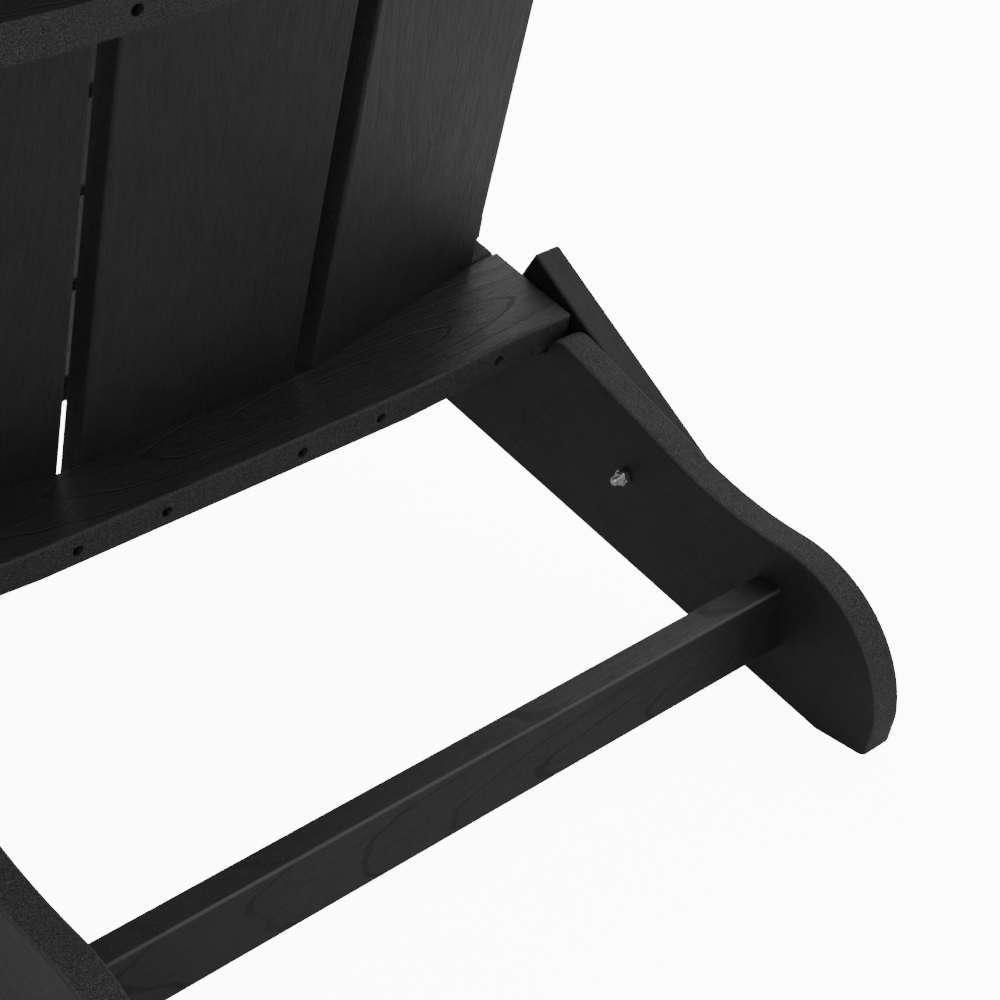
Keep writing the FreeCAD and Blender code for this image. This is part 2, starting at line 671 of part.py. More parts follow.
RAIL_BOLT_IN = X_OUT - 0.5 - 45.0
shaft = rod(BOLT_R, RAIL_BOLT_IN, HEAD_AT, E_YZ)
rail_bolt = shaft.fuse(cap(HEAD_AT, E_YZ, 1.0))
rail_low_t = drill(tilt(rail_low), BOLT_R, RAIL_BOLT_IN, X_OUT + 5, E_YZ)
rail_low_t = drill(rail_low_t, BOLT_R, -RAIL_BOLT_IN, -X_OUT - 5, E_YZ)
shaft = rod(BOLT_R, X_L1 - 0.5 - 45.0, X_B1 + GAP_MOVE, D_YZ)
arm_bolt = shaft.fuse(cap(X_B1 + GAP_MOVE, D_YZ, 1.0))
rail_up_t = drill(lean(rail_up), BOLT_R, X_L1 - 45.5, X_L1 + 5, D_YZ)
rail_up_t = drill(rail_up_t, BOLT_R, -X_L1 + 45.5, -X_L1 - 5, D_YZ)
SPLIT = (X_L1 + X_B0) / 2.0
shaft = rod(BOLT_R, SPLIT + 0.2, X_B1, C_YZ)
front_stub = shaft.fuse(cap(X_B1, C_YZ, 1.0))
leg_stub = rod(BOLT_R, X_L0 - 8.0, SPLIT - 0.2, C_YZ)
leg_lock = nut(X_L0, C_YZ, -1.0)
leg_collar = washer(X_L1, SPLIT - 0.2, C_YZ, BOLT_R)
for s, side in SIDES:
    rail_bolts.append(on_side(rail_bolt, s))
    arm_rear_bolts.append(on_side(arm_bolt, s))
    arm_front_bolts.append(on_side(front_stub, s))
    leg_top_bolts.append(on_side(leg_stub, s))
    leg_top_nuts.append(on_side(leg_lock, s))

# ---- write every piece ---------------------------------------------------
for s, side in SIDES:
    save(on_side(stringer, s), "stringer_" + side)
    save(on_side(link, s), "back_link_" + side)
    save(on_side(leg, s), "front_leg_" + side)
    save(on_side(arm, s), "armrest_" + side)
    save(on_side(front_br, s), "arm_front_bracket_" + side)
    save(on_side(rear_br, s), "arm_rear_bracket_" + side)
save(stretcher, "rear_stretcher")
for i in range(SEAT_SLATS):
    save(seat_slats[i], "seat_slat_%d" % (i + 1))
save(rail_low_t, "lower_back_rail")
save(rail_up_t, "upper_back_rail")
save(lean(batten), "top_back_batten")
save(lean(slat_c), "back_slat_center")
save(lean(slat_l), "back_slat_left")
save(lean(slat_r), "back_slat_right")
save(group(stretch_screws), "stretcher_screws")
save(group(seat_screws), "seat_screws")
save(group([lean(p) for p in screws_low]), "lower_rail_screws")
save(group([lean(p) for p in screws_up]), "upper_rail_screws")
save(group([lean(p) for p in screws_top]), "batten_screws")
save(group(arm_screws + [mirror(p) for p in arm_screws]), "armrest_screws")
save(group(link_bolts), "link_pivot_bolts")
save(group(link_nuts), "link_pivot_locknuts")
save(group(link_washers), "link_pivot_washers")
save(group(leg_bolts), "leg_pivot_bolts")
save(group(leg_nuts), "leg_pivot_locknuts")
save(group(leg_washers), "leg_pivot_washers")
save(group(rail_bolts), "rail_pivot_bolts")
save(group(arm_rear_bolts), "arm_rear_pivot_bolts")
save(group(arm_front_bolts), "arm_front_pivot_bolts")
save(group(leg_top_bolts), "leg_top_pivot_bolts")
save(group(leg_top_nuts), "leg_top_locknuts")
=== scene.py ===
import json
import math

import bpy
import numpy as np
from mathutils import Matrix, Quaternion, Vector


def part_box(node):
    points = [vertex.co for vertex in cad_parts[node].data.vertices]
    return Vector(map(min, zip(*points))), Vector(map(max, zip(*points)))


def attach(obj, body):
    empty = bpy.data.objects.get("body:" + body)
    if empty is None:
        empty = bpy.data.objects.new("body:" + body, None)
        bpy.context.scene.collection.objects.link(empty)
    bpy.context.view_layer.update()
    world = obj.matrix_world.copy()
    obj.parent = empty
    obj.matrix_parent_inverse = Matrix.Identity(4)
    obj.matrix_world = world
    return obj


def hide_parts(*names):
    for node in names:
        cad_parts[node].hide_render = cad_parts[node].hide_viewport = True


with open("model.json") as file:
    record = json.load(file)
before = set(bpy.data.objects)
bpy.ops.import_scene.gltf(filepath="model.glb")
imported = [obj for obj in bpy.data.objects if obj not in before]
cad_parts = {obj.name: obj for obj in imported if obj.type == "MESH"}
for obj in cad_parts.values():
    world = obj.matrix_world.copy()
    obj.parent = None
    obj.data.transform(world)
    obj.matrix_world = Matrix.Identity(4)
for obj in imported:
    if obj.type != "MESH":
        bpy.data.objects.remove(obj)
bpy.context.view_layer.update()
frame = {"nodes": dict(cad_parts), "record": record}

bl_info = {
    "name": "Folding Adirondack Chair",
    "version": (1, 0, 0),
    "blender": (4, 5, 0),
    "location": "View3D > Sidebar > Chair",
    "description": "Plastic lumber, fasteners and stage for a folding adirondack chair",
    "category": "Add Mesh",
}

NODES = frame["nodes"]
BODY_OF = {n: b for b, names in frame["record"]["behaviour"]["bodies"].items() for n in names}
BOARDS = sorted(s["node"] for s in frame["record"]["subparts"] if s["material_slot"] == "lumber")

# boards, by the first word of the node's name
SMOOTH_EDGED = ("back_link", "rear_stretcher")
SMOOTH_EDGED_BROAD = 0.75
RING_STRENGTH = {"lower": 0.95, "upper": 0.8, "seat": 0.6, "armrest": 0.6, "rear": 1.0, "back": 0.42}
RING_STRENGTH_ELSE = 0.35
# back slats: routed edges darkened, a painted shade for the gaps between the slats
EDGE_PAINTED_SHADE = {"back": 0.45}
# rounded corners paled towards the rubbed colour: partly rubbed wear, partly a painted highlight along the
# edges, strongest on the rear stretcher
EDGE_RUB_AND_HIGHLIGHT = {"rear": 0.8, "stringer": 0.35, "lower": 0.25, "upper": 0.25}
EDGE_RUB_AND_HIGHLIGHT_ELSE = 0.15

# grain: waves in each metre along, across and through a board
WANDER_SCALE = (1.6, 2.5, 2.5)
SWAY_SCALE = (6.0, 24.0, 24.0)
WAVER_SCALE = (30.0, 110.0, 110.0)
PATCH_SCALE = (9.0, 34.0, 34.0)
FINE_SCALE = (55.0, 1250.0, 1250.0)
BUNDLE_SCALE = (11.0, 300.0, 300.0)
TONE_SCALE = (3.0, 9.0, 9.0)
# grain: metres
WANDER_REACH = 0.07
SWAY_REACH = 0.010
WAVER_REACH = 0.0022
# grain: shares
LOOP_SLOPE = 0.12
PORE_COLOR = 0.62
RING_LINE_DEPTH = 0.95
PORE_DEPTH = 0.50
SWELL = 0.22
# routed edges: waves in each metre
CRUMB_SCALE = 1600.0
CELL_SCALE = 1100.0
POROUS_SCALE = 160.0
PORE_DROP = 0.6
ROUTED_RELIEF = 1.6
# dust
SPECK_SCALE = 95.0
DUST_PATCH_SCALE = 9.0
DUST_FILM_SCALE = 34.0
DUST_AMOUNT = 0.55
DUST_COLOR = (0.20, 0.20, 0.19, 1.0)
# where each board's pattern starts
SEED_FIRST = 3.1
SEED_STEP = 2.37
HEART_REACH = 0.35
LUMBER_SPECULAR = 0.34

# hardware: metres, with profiles as (height, radius)
BOLT_THREAD_LENGTH = 0.024
BOLT_HEAD_RADIUS = 0.0070
BOLT_HEAD_HEIGHT = 0.0032
BOLT_KEY_RADIUS = 0.0023
BOLT_KEY_DEPTH = 0.0022
THREAD_DEPTH = 0.54
# button head: height above its seat, share of its radius
BOLT_HEAD = ((0.0, 0.96), (0.0003, 1.0), (0.0006, 1.0), (0.0013, 0.95),
             (0.0020, 0.86), (0.0026, 0.72), (0.0030, 0.52), (0.0032, 0.36))
NUT_BODY_HEIGHT = 0.0044
# collar: height, share of half the width across flats
NUT_COLLAR = ((0.0038, 0.92), (0.0050, 0.92), (0.0056, 0.89), (0.0059, 0.83),
              (0.0060, 0.76), (0.0058, 0.72), (0.0054, 0.70))
NUT_RING = [(0.0040, 0.0036), (0.0057, 0.0036), (0.0058, 0.0033)]
NYLON_COLOR = (0.55, 0.56, 0.58)
WASHER_RADIUS = 0.0060
WASHER_EASED = 0.0058
WASHER_BORE = 0.00302
SCREW_TIP = 0.004
SCREW_PITCH = 0.0022
SCREW_CORE = 0.0014
SCREW_CREST = 0.0021
SCREW_NECK_LENGTH = 0.012
# screw head: height from its top, radius
SCREW_HEAD = ((-0.0034, 0.0017), (-0.0010, 0.0034), (-0.0006, 0.0036), (-0.0002, 0.0035), (0.0, 0.0031))
STAR_RADIUS = 0.0019
STAR_DEPTH = 0.0018
STAR_LOBE = 0.72
KEY_CLEARANCE = 0.002
BOLT_SPIN = 0.4
NUT_SPIN = 0.25
SCREW_SPIN = 0.7
SMOOTH_ANGLE = math.radians(35.0)

# stage: name, power, size, place and target of each lamp
LAMPS = (("key", 26.0, (1.6, 1.6), (-1.2, 1.0, 2.6), (0.0, 0.1, 0.4)),
         ("rim", 50.0, (2.4, 2.4), (-2.2, -2.2, 2.3), (-0.2, 0.1, 0.3)),
         ("fill", 8.0, (2.5, 2.5), (2.6, 1.8, 2.0), (0.0, 0.0, 0.4)))
PAPER_COLOR = (0.92, 0.92, 0.92, 1.0)
WHITE = (1.0, 1.0, 1.0, 1.0)


# ---------------------------------------------------------------- settings
class LumberSettings(bpy.types.PropertyGroup):
    """Plastic lumber of every board."""
    face_color: bpy.props.FloatVectorProperty(
        name="Face Colour", description="Colour of the embossed faces",
        subtype="COLOR", size=3, min=0.0, max=1.0, default=(0.0088, 0.0088, 0.0089))
    groove_color: bpy.props.FloatVectorProperty(
        name="Groove Colour", description="Colour at the bottom of the grain",
        subtype="COLOR", size=3, min=0.0, max=1.0, default=(0.0014, 0.0014, 0.0014))
    edge_color: bpy.props.FloatVectorProperty(
        name="Routed Edge Colour", description="Colour of the cut and routed edges",
        subtype="COLOR", size=3, min=0.0, max=1.0, default=(0.0160, 0.0160, 0.0162))
    # paler colour of the crumbs on routed edges, and of rounded corners, where it is partly wear and partly
    # a painted highlight
    rub_and_highlight_color: bpy.props.FloatVectorProperty(
        name="Rubbed Colour", description="Paler colour where corners and fibres are rubbed",
        subtype="COLOR", size=3, min=0.0, max=1.0, default=(0.062, 0.062, 0.0625))
    relief: bpy.props.FloatProperty(
        name="Grain Relief", description="Height of the embossed grain",
        subtype="DISTANCE", unit="LENGTH", min=0.0, max=0.002, default=0.00030)
    ring_gap: bpy.props.FloatProperty(
        name="Ring Gap", description="Distance between two embossed growth rings",
        subtype="DISTANCE", unit="LENGTH", min=0.002, max=0.03, default=0.0085)
    roughness: bpy.props.FloatProperty(
        name="Roughness", description="Roughness of the embossed faces",
        subtype="FACTOR", min=0.0, max=1.0, default=0.50)


class HardwareSettings(bpy.types.PropertyGroup):
    """Bolts, nuts, washers and screws."""
    bolt_radius: bpy.props.FloatProperty(
        name="Bolt Radius", description="Outside radius of the thread",
        subtype="DISTANCE", unit="LENGTH", min=0.001, max=0.01, default=0.003)
    pitch: bpy.props.FloatProperty(
        name="Thread Pitch", description="Distance between two thread crests",
        subtype="DISTANCE", unit="LENGTH", min=0.0003, max=0.002, default=0.001)
    nut_flats: bpy.props.FloatProperty(
        name="Nut Across Flats", description="Size of the spanner that fits the nut",
        subtype="DISTANCE", unit="LENGTH", min=0.005, max=0.03, default=0.010)
    steel_color: bpy.props.FloatVectorProperty(
        name="Stainless Colour", description="Colour of the bright stainless steel",
        subtype="COLOR", size=3, min=0.0, max=1.0, default=(0.60, 0.59, 0.57))
    washer_color: bpy.props.FloatVectorProperty(
        name="Washer Colour", description="Colour of the black nylon washers",
        subtype="COLOR", size=3, min=0.0, max=1.0, default=(0.010, 0.010, 0.010))
    screw_color: bpy.props.FloatVectorProperty(
        name="Screw Colour", description="Colour of the coated screws",
        subtype="COLOR", size=3, min=0.0, max=1.0, default=(0.020, 0.019, 0.018))


class StageSettings(bpy.types.PropertyGroup):
    """Floor, light and camera."""
    floor_size: bpy.props.FloatProperty(
        name="Floor Size", description="Width of the floor",
        subtype="DISTANCE", unit="LENGTH", min=2.0, max=60.0, default=30.0)
    sky: bpy.props.FloatProperty(
        name="Sky Strength", description="Strength of the even light from all round",
        min=0.0, max=10.0, default=0.62)
    paper_glow: bpy.props.FloatProperty(
        name="Paper Glow", description="Brightness of the paper as seen, with no light thrown on the chair",
        min=0.0, max=30.0, default=11.0)
    lens: bpy.props.FloatProperty(
        name="Lens", description="Focal length of the camera, millimetres",
        unit="CAMERA", min=20.0, max=300.0, default=84.905)
    place: bpy.props.FloatVectorProperty(
        name="Camera Place", description="Where the camera stands",
        subtype="XYZ", unit="LENGTH", size=3, default=(0.6693, 1.1359, 0.8958))
    turn: bpy.props.FloatProperty(
        name="Camera Turn", description="Turn of the view about the upright, from straight in front",
        subtype="ANGLE", unit="ROTATION", default=math.radians(138.80))
    rise: bpy.props.FloatProperty(
        name="Camera Rise", description="How far the camera looks down",
        subtype="ANGLE", unit="ROTATION", default=math.radians(31.54))
    roll: bpy.props.FloatProperty(
        name="Camera Roll", description="Roll of the camera about its line of sight",
        subtype="ANGLE", unit="ROTATION", default=math.radians(-1.05))


# ---------------------------------------------------------- shader helpers
class Net:
    """Short hand for building a node tree."""

    def __init__(self, tree):
        self.tree = tree
        self.nodes = tree.nodes

    def put(self, kind, **sets):
        node = self.nodes.new("ShaderNode" + kind)
        for key, value in sets.items():
            setattr(node, key, value)
        return node

    def feed(self, socket, value):
        if isinstance(value, bpy.types.NodeSocket):
            self.tree.links.new(value, socket)
        else:
            socket.default_value = value

    def math(self, op, a, b=None, c=None, clamp=False):
        node = self.put("Math", operation=op, use_clamp=clamp)
        for i, value in enumerate((a, b, c)):
            if value is not None:
                self.feed(node.inputs[i], value)
        return node.outputs[0]

    def step(self, value, low, high, out_low=0.0, out_high=1.0):
        node = self.put("MapRange", interpolation_type="SMOOTHSTEP")
        for key, given in zip(("Value", "From Min", "From Max", "To Min", "To Max"),
                              (value, low, high, out_low, out_high)):
            self.feed(node.inputs[key], given)
        return node.outputs["Result"]

    def scale(self, vector, xyz):
        node = self.put("VectorMath", operation="MULTIPLY")
        self.feed(node.inputs[0], vector)
        node.inputs[1].default_value = xyz
        return node.outputs[0]

    def shift(self, vector, amount, along=(1.0, 0.618, 0.37)):
        """Vector moved by amount, so that each board reads its own stretch of a pattern."""
        step = self.put("VectorMath", operation="SCALE")
        step.inputs[0].default_value = along
        self.feed(step.inputs["Scale"], amount)
        node = self.put("VectorMath", operation="ADD")
        self.feed(node.inputs[0], vector)
        self.feed(node.inputs[1], step.outputs[0])
        return node.outputs[0]

    def noise(self, vector, scale=1.0, detail=2.0, rough=0.5):
        node = self.put("TexNoise")
        self.feed(node.inputs["Vector"], vector)
        node.inputs["Scale"].default_value = scale
        node.inputs["Detail"].default_value = detail
        node.inputs["Roughness"].default_value = rough
        return node.outputs["Fac"]

    def drift(self, vector, waves, reach, detail=1.0):
        """Noise about nought, reach metres from lowest to highest."""
        cloud = self.noise(self.scale(vector, waves), detail=detail)
        return self.math("MULTIPLY", self.math("SUBTRACT", cloud, 0.5), reach)

    def split(self, vector):
        node = self.put("SeparateXYZ")
        self.feed(node.inputs[0], vector)
        return node.outputs

    def cells(self, vector, scale):
        """Distance to the nearest of a scatter of points."""
        node = self.put("TexVoronoi", feature="F1")
        self.feed(node.inputs["Vector"], vector)
        node.inputs["Scale"].default_value = scale
        return node.outputs["Distance"]

    def bump(self, height, distance, strength, under=None):
        node = self.put("Bump")
        node.inputs["Distance"].default_value = distance
        self.feed(node.inputs["Strength"], strength)
        self.feed(node.inputs["Height"], height)
        if under is not None:
            self.feed(node.inputs["Normal"], under)
        return node.outputs["Normal"]

    def mix(self, factor, a, b):
        node = self.put("Mix", data_type="RGBA")
        self.feed(node.inputs["Factor"], factor)
        self.feed(node.inputs["A"], a)
        self.feed(node.inputs["B"], b)
        return node.outputs["Result"]


def new_group(name, inputs, outputs):
    """Shader node group with named sockets; returns its net, inputs and output node."""
    tree = bpy.data.node_groups.new(name, "ShaderNodeTree")
    for label, kind, default in inputs:
        socket = tree.interface.new_socket(label, in_out="INPUT", socket_type=kind)
        if default is not None:
            socket.default_value = default
    for label, kind in outputs:
        tree.interface.new_socket(label, in_out="OUTPUT", socket_type=kind)
    net = Net(tree)
    source = tree.nodes.new("NodeGroupInput")
    sink = tree.nodes.new("NodeGroupOutput")
    return net, source.outputs, sink.inputs


def grain_group():
    """Embossed grain. Vector runs x along the board, y across it, z through it."""
    net, given, out = new_group(
        "Embossed Grain",
        [("Vector", "NodeSocketVector", None), ("Seed", "NodeSocketFloat", 0.0),
         ("Ring Gap", "NodeSocketFloat", 0.006), ("Heart", "NodeSocketFloat", 0.0),
         ("Rings", "NodeSocketFloat", 0.5)],
        [("Height", "NodeSocketFloat"), ("Groove", "NodeSocketFloat")])
    moved = net.shift(given["Vector"], given["Seed"])
    place = net.split(given["Vector"])
    # growth rings: long pointed loops about a heart line that wanders
    across = net.math("ADD", place["Y"], net.drift(moved, WANDER_SCALE, WANDER_REACH))
    along = net.math("MULTIPLY", net.math("SUBTRACT", place["X"], given["Heart"]), LOOP_SLOPE)
    reach = net.math("SQRT", net.math("ADD", net.math("MULTIPLY", across, across),
                                      net.math("MULTIPLY", along, along)))
    reach = net.math("ADD", reach, net.drift(moved, SWAY_SCALE, SWAY_REACH))
    reach = net.math("ADD", reach, net.drift(moved, WAVER_SCALE, WAVER_REACH, detail=2.0))
    ring = net.math("FRACT", net.math("DIVIDE", reach, given["Ring Gap"]))
    line = net.math("MULTIPLY", net.step(ring, 0.0, 0.03), net.step(ring, 0.08, 0.14, 1.0, 0.0))
    late = net.step(ring, 0.10, 1.0, 0.0, 0.35)
    patch = net.step(net.noise(net.scale(moved, PATCH_SCALE), detail=2.0), 0.36, 0.56, 0.55, 1.0)
    line = net.math("MULTIPLY", net.math("MULTIPLY", line, patch), given["Rings"])
    # pores: short fine strokes along the board, in bundles
    fine = net.noise(net.scale(moved, FINE_SCALE), detail=3.0, rough=0.62)
    coarse = net.noise(net.scale(moved, BUNDLE_SCALE), detail=2.0)
    bundle = net.step(coarse, 0.30, 0.66)
    streak = net.math("MULTIPLY", net.step(fine, 0.40, 0.68),
                      net.math("MULTIPLY_ADD", bundle, 0.6, 0.4))
    streak = net.math("ADD", streak, net.math("MULTIPLY", late, 0.5), clamp=True)
    net.feed(out["Groove"], net.math("MAXIMUM", line, net.math("MULTIPLY", streak, PORE_COLOR)))
    depth = net.math("MAXIMUM", net.math("MULTIPLY", line, RING_LINE_DEPTH),
                     net.math("MULTIPLY", streak, PORE_DEPTH))
    swell = net.math("MULTIPLY", coarse, SWELL)
    net.feed(out["Height"], net.math("ADD", net.math("SUBTRACT", 1.0, depth), swell))
    return net.tree


def routed_group():
    """Granular surface left by a cutter in foamed plastic: crumbs and open pores."""
    net, given, out = new_group(
        "Routed Surface",
        [("Vector", "NodeSocketVector", None), ("Seed", "NodeSocketFloat", 0.0)],
        [("Height", "NodeSocketFloat"), ("Crumb", "NodeSocketFloat"), ("Pore", "NodeSocketFloat")])
    moved = net.shift(given["Vector"], given["Seed"])
    crumb = net.noise(moved, scale=CRUMB_SCALE, detail=1.0, rough=0.6)
    porous = net.step(net.noise(moved, scale=POROUS_SCALE, detail=2.0), 0.45, 0.62)
    pore = net.math("MULTIPLY", net.step(net.cells(moved, CELL_SCALE), 0.12, 0.34, 1.0, 0.0), porous)
    net.feed(out["Height"], net.math("SUBTRACT", crumb, net.math("MULTIPLY", pore, PORE_DROP)))
    net.feed(out["Crumb"], net.step(crumb, 0.47, 0.58))
    net.feed(out["Pore"], pore)
    return net.tree


def facing_group():
    """1 on a board's two broad faces, 0 on its edges and ends; rounded corners fade between."""
    net, given, out = new_group(
        "Broad Face", [("Normal", "NodeSocketVector", None)],
        [("Broad", "NodeSocketFloat"), ("Corner", "NodeSocketFloat")])
    up = net.math("ABSOLUTE", net.split(given["Normal"])["Z"])
    net.feed(out["Broad"], net.step(up, 0.80, 0.97))
    corner = net.math("MULTIPLY", net.step(up, 0.15, 0.45), net.step(up, 0.80, 0.985, 1.0, 0.0))
    net.feed(out["Corner"], corner)
    return net.tree


def dust_group():
    """Fine pale dust and short scuffs, thicker in patches."""
    net, given, out = new_group(
        "Dust and Scuffs",
        [("Vector", "NodeSocketVector", None), ("Seed", "NodeSocketFloat", 0.0),
         ("Amount", "NodeSocketFloat", 0.3)],
        [("Mask", "NodeSocketFloat")])
    moved = net.shift(given["Vector"], given["Seed"])
    dot = net.step(net.cells(moved, SPECK_SCALE), 0.018, 0.045, 1.0, 0.0)
    patch = net.step(net.noise(moved, scale=DUST_PATCH_SCALE, detail=2.0), 0.52, 0.70)
    film = net.math("MULTIPLY", net.noise(moved, scale=DUST_FILM_SCALE, detail=4.0), 0.10)
    mask = net.math("ADD", net.math("MULTIPLY", dot, patch), film)
    net.feed(out["Mask"], net.math("MULTIPLY", mask, given["Amount"], clamp=True))
    return net.tree


def group_node(net, tree, **values):
    """Places a group; a name such as Ring_Gap stands for the socket Ring Gap."""
    node = net.put("Group", node_tree=tree)
    for key, value in values.items():
        net.feed(node.inputs[key.replace("_", " ")], value)
    return node.outputs


def rgba(color, tone=1.0):
    """Colour of a setting, darkened by tone, as a shader socket takes it."""
    return (color[0] * tone, color[1] * tone, color[2] * tone, 1.0)


# ------------------------------------------------------------------ lumber
def board_axes(node):
    """Length, width and thickness directions of a board, and its centre, from its faces."""
    mesh = NODES[node].data
    normals = np.empty(len(mesh.polygons) * 3)
    areas = np.empty(len(mesh.polygons))
    mesh.polygons.foreach_get("normal", normals)
    mesh.polygons.foreach_get("area", areas)
    normals = normals.reshape(-1, 3)
    spread = (normals * areas[:, None]).T @ normals
    _, axes = np.linalg.eigh(spread)
    length = Vector(axes[:, 0])
    thick = Vector(axes[:, 2])
    if max(length, key=abs) < 0.0:
        length.negate()
    if max(thick, key=abs) < 0.0:
        thick.negate()
    width = thick.cross(length)
    low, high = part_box(node)
    return length.normalized(), width.normalized(), thick.normalized(), (low + high) / 2.0


def board_material(node, seed, groups, own):
    """Embossed faces, granular routed edges, rounded corners paled as rubbed wear and painted highlight, and
    a little dust.
    """
    length, width, thick, centre = board_axes(node)
    turn = Matrix((length, width, thick))
    kind = node.split("_")[0]
    mat = bpy.data.materials.new("lumber_" + node)
    mat.use_nodes = True
    net = Net(mat.node_tree)
    shader = net.nodes["Principled BSDF"]
    place = net.put("TexCoord")
    lay = net.put("Mapping", vector_type="POINT")
    net.feed(lay.inputs["Vector"], place.outputs["Object"])
    lay.inputs["Rotation"].default_value = turn.to_euler()
    lay.inputs["Location"].default_value = -(turn @ centre)
    face = net.put("Mapping", vector_type="VECTOR")
    net.feed(face.inputs["Vector"], place.outputs["Normal"])
    face.inputs["Rotation"].default_value = turn.to_euler()
    flat = lay.outputs["Vector"]
    grain = group_node(net, groups["grain"], Vector=flat, Seed=seed * 1.7, Ring_Gap=own.ring_gap,
                       Heart=HEART_REACH * math.sin(seed * 2.4),
                       Rings=RING_STRENGTH.get(kind, RING_STRENGTH_ELSE))
    routed = group_node(net, groups["routed"], Vector=flat, Seed=seed * 0.9)
    side = group_node(net, groups["facing"], Normal=face.outputs["Vector"])
    dust = group_node(net, groups["dust"], Vector=flat, Seed=seed * 0.5, Amount=DUST_AMOUNT)
    broad = side["Broad"]
    if node.startswith(SMOOTH_EDGED):
        broad = net.math("MAXIMUM", broad, SMOOTH_EDGED_BROAD)
    narrow = net.math("SUBTRACT", 1.0, broad)
    tone = net.noise(net.scale(flat, TONE_SCALE), detail=2.0)
    # colour: embossed face, cut edge, rounded corner paled as rubbed wear and painted highlight, dust
    embossed = net.mix(grain["Groove"], rgba(own.face_color), rgba(own.groove_color))
    pale = net.math("MULTIPLY", net.step(tone, 0.35, 0.70), 0.22)
    embossed = net.mix(pale, embossed, rgba(own.edge_color))
    # painted shade: routed edges of the back slats, seen in the gaps between slats, darkened
    painted_edge_shade = EDGE_PAINTED_SHADE.get(kind, 1.0)
    cut = net.mix(routed["Crumb"], rgba(own.groove_color, painted_edge_shade), rgba(own.rub_and_highlight_color, painted_edge_shade))
    cut = net.mix(0.25, cut, rgba(own.edge_color, painted_edge_shade))
    cut = net.mix(routed["Pore"], cut, rgba(own.groove_color))
    # rounded corners paled: partly rubbed wear, partly a painted highlight
    rub_and_highlight = net.math("MULTIPLY", side["Corner"], EDGE_RUB_AND_HIGHLIGHT.get(kind, EDGE_RUB_AND_HIGHLIGHT_ELSE))
    color = net.mix(rub_and_highlight, net.mix(broad, cut, embossed), rgba(own.rub_and_highlight_color))
    net.feed(shader.inputs["Base Color"], net.mix(dust["Mask"], color, DUST_COLOR))
    # gloss: duller in the grooves and on the cut edges
    rough = net.math("MULTIPLY_ADD", grain["Groove"], 0.14, own.roughness)
    rough = net.math("ADD", rough, net.math("MULTIPLY", net.math("SUBTRACT", tone, 0.5), 0.12))
    rough = net.math("ADD", rough, net.math("MULTIPLY", narrow, 0.20), clamp=True)
    net.feed(shader.inputs["Roughness"], rough)
    shader.inputs["Specular IOR Level"].default_value = LUMBER_SPECULAR
    stamped = net.bump(grain["Height"], own.relief, broad)
    chewed = net.bump(routed["Height"], own.relief * ROUTED_RELIEF, narrow, under=stamped)
    net.feed(shader.inputs["Normal"], chewed)
    return mat


class CHAIR_OT_lumber(bpy.types.Operator):
    """Give every board embossed faces and routed edges that follow its own length"""
    bl_idname = "chair.lumber"
    bl_label = "Finish Lumber"

    def execute(self, context):
        own = context.scene.chair_lumber
        groups = {"grain": grain_group(), "routed": routed_group(),
                  "facing": facing_group(), "dust": dust_group()}
        for number, node in enumerate(BOARDS):
            shade(NODES[node], board_material(node, SEED_FIRST + SEED_STEP * number, groups, own))
        return {"FINISHED"}


# ---------------------------------------------------------------- hardware
def metal_material(name, color, roughness, metallic, scale, variation):
    """Turned metal or nylon: clouded colour and gloss, with fine marks round the axis."""
    mat = bpy.data.materials.new(name)
    mat.use_nodes = True
    net = Net(mat.node_tree)
    shader = net.nodes["Principled BSDF"]
    place = net.put("TexCoord").outputs["Object"]
    cloud = net.noise(place, scale=scale, detail=4.0, rough=0.6)
    marks = net.noise(net.scale(place, (4200.0, 420.0, 420.0)), detail=2.0)
    net.feed(shader.inputs["Base Color"],
             net.mix(net.step(cloud, 0.35, 0.75), rgba(color), rgba(color, 0.55)))
    rough = net.math("MULTIPLY_ADD", net.math("SUBTRACT", cloud, 0.5), variation, roughness, clamp=True)
    net.feed(shader.inputs["Roughness"], rough)
    shader.inputs["Metallic"].default_value = metallic
    net.feed(shader.inputs["Normal"], net.bump(marks, 0.00003, 0.5))
    return mat


def islands(node):
    """The separate solids of a node: list of vertex arrays."""
    mesh = NODES[node].data
    co = np.empty(len(mesh.vertices) * 3)
    mesh.vertices.foreach_get("co", co)
    co = co.reshape(-1, 3)
    _, merged = np.unique(np.round(co, 6), axis=0, return_inverse=True)
    merged = merged.ravel()
    parent = list(range(int(merged.max()) + 1))

    def root(i):
        while parent[i] != i:
            parent[i] = parent[parent[i]]
            i = parent[i]
        return i

    for poly in mesh.polygons:
        ids = [merged[v] for v in poly.vertices]
        for other in ids[1:]:
            a, b = root(ids[0]), root(other)
            if a != b:
                parent[a] = b
    label = np.array([root(i) for i in merged])
    return [co[label == k] for k in sorted(set(label), key=lambda k: tuple(co[label == k].mean(0)))]


def axis_of(points):
    """Both ends of a turned piece's axis: thin end first, wide end (its head) last."""
    middle = (points.max(0) + points.min(0)) / 2.0
    _, axes = np.linalg.eigh(np.cov((points - points.mean(0)).T))
    way = axes[:, 2]
    along = (points - middle) @ way
    radius = np.linalg.norm(points - middle - np.outer(along, way), axis=1)
    high = radius[along > along.max() - 0.0015].max()
    low = radius[along < along.min() + 0.0015].max()
    if low > high:
        way = -way
        along = -along
    return Vector(middle + way * along.min()), Vector(middle + way * along.max())


def clear_selection():
    if bpy.context.mode != "OBJECT":
        bpy.ops.object.mode_set(mode="OBJECT")
    bpy.ops.object.select_all(action="DESELECT")


